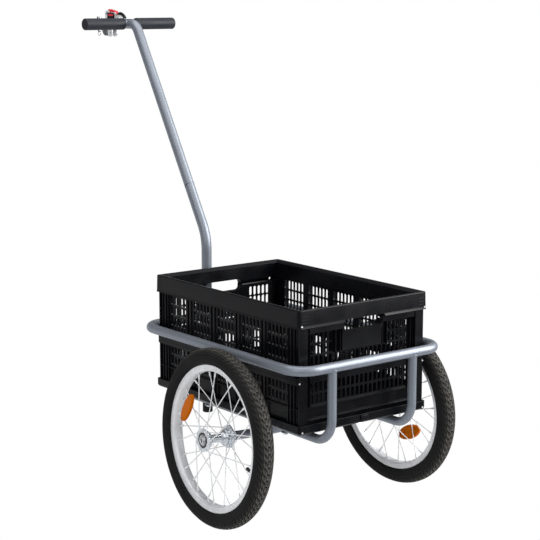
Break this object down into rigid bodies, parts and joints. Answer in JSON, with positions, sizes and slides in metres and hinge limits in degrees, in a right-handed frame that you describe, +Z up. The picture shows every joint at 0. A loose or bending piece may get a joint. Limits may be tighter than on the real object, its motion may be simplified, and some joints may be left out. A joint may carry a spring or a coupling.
{
  "type": "bicycle cargo trailer",
  "caption": "Two-wheel bicycle trailer: tube frame, slotted folding crate, spoked wheels and a raised drawbar with cross handle and coupling.",
  "frame": {"origin": "bottom centre of the bounding box of the parked trailer, on the floor", "axes": "+X forward, from the crate towards the drawbar's coupling; +Y to the trailer's left; +Z up. Stored as it parks: tipped forward about the axle by 18.75 degrees on both tyres and the drawbar's foot"},
  "size_m": [1.3402, 0.6009, 0.8177],
  "materials": {
    "painted_frame": "silver-grey metallic powder coat, semi-gloss",
    "tyre_rubber": "matt black rubber",
    "rim_aluminium": "satin silver",
    "spoke_wire": "galvanised wire",
    "zinc_steel": "bright zinc plate",
    "amber_lens": "amber lens",
    "black_plastic": "black",
    "grip_plastic": "dark grey, soft",
    "foot_plastic": "dark grey",
    "red_plastic": "red",
    "crate_plastic": "black polypropylene, satin"
  },
  "bodies": {
    "frame": {"rail_loop": "painted_frame", "axle_tube": "painted_frame", "front_cross_tube": "painted_frame", "drawbar_socket": "painted_frame", "socket_gussets": "painted_frame", "socket_knob": "crate_plastic", "crate_crossbars": "painted_frame", "drawbar_lower": "painted_frame", "drawbar_upper": "painted_frame", "foot_cap": "foot_plastic", "handle_tube": "painted_frame", "crate_collar": "crate_plastic", "crate_base": "crate_plastic", "side_hinge_pins": "zinc_steel", "end_hinge_pins": "zinc_steel", "axle_pin_left": "zinc_steel", "axle_pin_right": "zinc_steel", "cradle_tube_left": "painted_frame", "cradle_tube_right": "painted_frame", "grip_left": "grip_plastic", "grip_right": "grip_plastic", "crate_side_upper_left": "crate_plastic", "crate_side_upper_right": "crate_plastic", "crate_side_lower_left": "crate_plastic", "crate_side_lower_right": "crate_plastic"},
    "wheel_left": {"tyre_left": "tyre_rubber", "rim_left": "rim_aluminium", "hub_left": "zinc_steel", "bearings_left": "zinc_steel", "spokes_left": "spoke_wire", "reflector_left": "amber_lens", "valve_left": "black_plastic"},
    "wheel_right": {"tyre_right": "tyre_rubber", "rim_right": "rim_aluminium", "hub_right": "zinc_steel", "bearings_right": "zinc_steel", "spokes_right": "spoke_wire", "reflector_right": "amber_lens", "valve_right": "black_plastic"},
    "rear_wall": {"end_wall_rear": "crate_plastic"},
    "front_wall": {"end_wall_front": "crate_plastic"},
    "coupling": {"coupling_head": "zinc_steel", "coupling_jaw": "zinc_steel", "hitch_pin": "zinc_steel", "coupling_latch": "zinc_steel", "release_lever": "red_plastic"}
  },
  "joints": [
    {"name": "wheel_left_turn", "type": "hinge", "parent": "frame", "child": "wheel_left", "pos_m": [-0.46821, 0.2602, 0.19989], "axis": [0.036, 0.9987, 0.0357], "continuous": true},
    {"name": "wheel_right_turn", "type": "hinge", "parent": "frame", "child": "wheel_right", "pos_m": [-0.46821, -0.2602, 0.19989], "axis": [-0.036, 0.9987, -0.0357], "continuous": true},
    {"name": "rear_wall_fold", "type": "hinge", "parent": "frame", "child": "rear_wall", "pos_m": [-0.55575, 0, 0.49889], "axis": [0, -1, 0], "range_deg": [0, 88]},
    {"name": "front_wall_fold", "type": "hinge", "parent": "frame", "child": "front_wall", "pos_m": [-0.06902, 0, 0.33368], "axis": [0, 1, 0], "range_deg": [0, 88]},
    {"name": "coupling_swivel", "type": "hinge", "parent": "frame", "child": "coupling", "pos_m": [0.5659, 0, 0.78242], "axis": [0.9469, 0, -0.3214], "range_deg": [-90, 90]}
  ]
}
